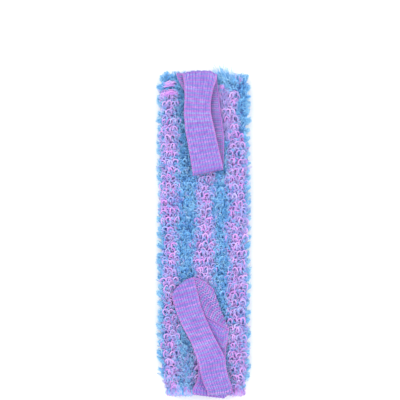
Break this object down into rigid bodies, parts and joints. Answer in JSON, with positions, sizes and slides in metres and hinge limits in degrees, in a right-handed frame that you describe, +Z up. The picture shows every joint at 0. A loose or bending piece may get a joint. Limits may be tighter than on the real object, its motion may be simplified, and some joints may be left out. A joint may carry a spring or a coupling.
{
  "type": "back scrubber",
  "caption": "Long knitted back scrubber with looped pile in pink and blue columns, fringed edges, and a knitted strap handle folded over each end.",
  "frame": {"origin": "on the floor under the middle of the strip, which lies flat on its back", "axes": "+Y along the strip towards the top handle, +X across it to the right as its front face is looked at, +Z up out of the front face"},
  "size_m": [0.123, 0.4192, 0.0332],
  "materials": {
    "pink_pile": "matte",
    "blue_pile": "matte",
    "ground_knit": "matte",
    "strap_knit": "matte",
    "sewing_thread": "satin"
  },
  "bodies": {
    "middle_strip": {"knitted_sleeve_middle": "ground_knit", "pink_left_pile_front_middle": "pink_pile", "blue_left_pile_front_middle": "blue_pile", "pink_middle_pile_front_middle": "pink_pile", "blue_right_pile_front_middle": "blue_pile", "pink_right_pile_front_middle": "pink_pile", "pink_left_pile_back_middle": "pink_pile", "blue_left_pile_back_middle": "blue_pile", "pink_middle_pile_back_middle": "pink_pile", "blue_right_pile_back_middle": "blue_pile", "pink_right_pile_back_middle": "pink_pile", "edge_fringe_left_middle": "blue_pile", "edge_fringe_right_middle": "blue_pile"},
    "upper_strip": {"knitted_sleeve_upper": "ground_knit", "pink_left_pile_front_upper": "pink_pile", "blue_left_pile_front_upper": "blue_pile", "pink_middle_pile_front_upper": "pink_pile", "blue_right_pile_front_upper": "blue_pile", "pink_right_pile_front_upper": "pink_pile", "pink_left_pile_back_upper": "pink_pile", "blue_left_pile_back_upper": "blue_pile", "pink_middle_pile_back_upper": "pink_pile", "blue_right_pile_back_upper": "blue_pile", "pink_right_pile_back_upper": "pink_pile", "edge_fringe_left_upper": "blue_pile", "edge_fringe_right_upper": "blue_pile", "top_hem": "ground_knit", "top_hem_stitches": "sewing_thread"},
    "lower_strip": {"knitted_sleeve_lower": "ground_knit", "pink_left_pile_front_lower": "pink_pile", "blue_left_pile_front_lower": "blue_pile", "pink_middle_pile_front_lower": "pink_pile", "blue_right_pile_front_lower": "blue_pile", "pink_right_pile_front_lower": "pink_pile", "pink_left_pile_back_lower": "pink_pile", "blue_left_pile_back_lower": "blue_pile", "pink_middle_pile_back_lower": "pink_pile", "blue_right_pile_back_lower": "blue_pile", "pink_right_pile_back_lower": "pink_pile", "edge_fringe_left_lower": "blue_pile", "edge_fringe_right_lower": "blue_pile", "bottom_hem": "ground_knit", "bottom_hem_stitches": "sewing_thread"},
    "top_tab": {"top_handle_tab": "strap_knit", "top_tab_stitches": "sewing_thread"},
    "top_handle": {"top_handle_upper_leg": "strap_knit", "top_handle_lower_leg": "strap_knit", "top_handle_fold": "strap_knit"},
    "bottom_tab": {"bottom_handle_tab": "strap_knit", "bottom_tab_stitches": "sewing_thread"},
    "bottom_handle": {"bottom_handle_front_leg": "strap_knit", "bottom_handle_back_leg": "strap_knit", "bottom_handle_fold": "strap_knit"}
  },
  "joints": [
    {"name": "upper_bend", "type": "hinge", "parent": "middle_strip", "child": "upper_strip", "pos_m": [0, 0.0639, 0.0123], "axis": [1, 0, 0], "range_deg": [0, 45]},
    {"name": "lower_bend", "type": "hinge", "parent": "middle_strip", "child": "lower_strip", "pos_m": [0, -0.0426, 0.0123], "axis": [-1, 0, 0], "range_deg": [0, 45]},
    {"name": "top_seam_turn", "type": "hinge", "parent": "upper_strip", "child": "top_tab", "pos_m": [0, 0.20625, 0.0108], "axis": [-1, 0, 0], "range_deg": [0, 90]},
    {"name": "top_handle_turn", "type": "hinge", "parent": "top_tab", "child": "top_handle", "pos_m": [0, 0.20625, 0.0276], "axis": [-1, 0, 0], "range_deg": [0, 90]},
    {"name": "bottom_seam_turn", "type": "hinge", "parent": "lower_strip", "child": "bottom_tab", "pos_m": [0, -0.20625, 0.0108], "axis": [1, 0, 0], "range_deg": [0, 90]},
    {"name": "bottom_handle_turn", "type": "hinge", "parent": "bottom_tab", "child": "bottom_handle", "pos_m": [0, -0.20625, 0.0276], "axis": [1, 0, 0], "range_deg": [0, 90]}
  ]
}
